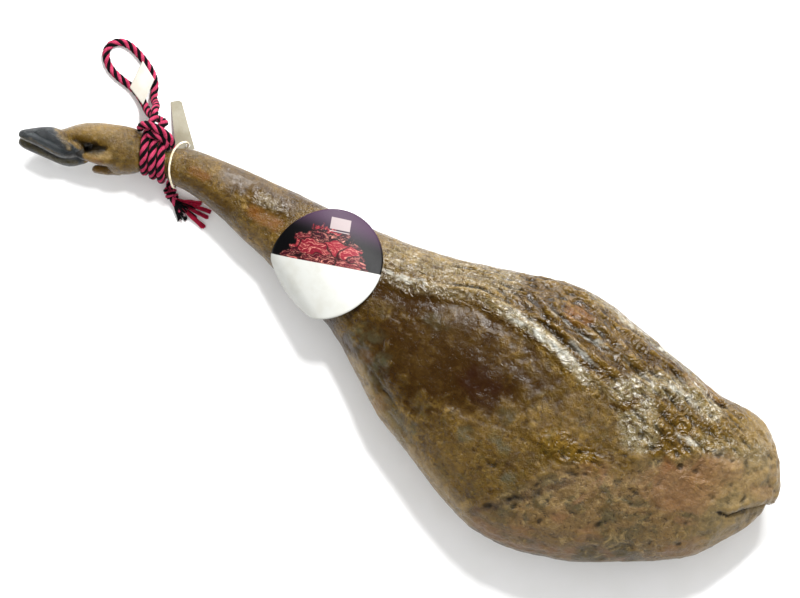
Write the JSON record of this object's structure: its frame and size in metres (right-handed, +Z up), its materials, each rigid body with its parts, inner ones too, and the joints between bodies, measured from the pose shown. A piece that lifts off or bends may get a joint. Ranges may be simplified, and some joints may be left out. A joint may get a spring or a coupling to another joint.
{
  "type": "cured ham",
  "caption": "Whole bone-in cured ham lying on its side, hoof on, with a twisted hanging rope, a hang tag on an elastic band and a round card label.",
  "frame": {"origin": "under the middle of the ham's bounding box, without the free rope, on the surface that it rests on", "axes": "+X from the hoof to the butt, +Y across the leg towards the hanging loop, +Z up through the side that shows"},
  "size_m": [0.842, 0.2911, 0.1183],
  "materials": {
    "ham_skin": "greasy dried skin, fat and lean, olive brown to ochre, glossy on the upper side",
    "twisted_rope": "soft twisted yarn, pink and black strands",
    "white_paper": "matt",
    "grey_card": "matt",
    "elastic": "cream, satin",
    "printed_card": "coated card, dark print above and off-white below"
  },
  "bodies": {
    "root": {"ham": "ham_skin", "rope_wraps": "twisted_rope", "rope_knot": "twisted_rope", "rope_loop": "twisted_rope", "rope_tail": "twisted_rope", "tail_knot": "twisted_rope", "tassel": "twisted_rope", "rope_label": "white_paper", "hang_tag": "grey_card", "tag_band": "elastic", "card_label": "printed_card"}
  },
  "joints": []
}
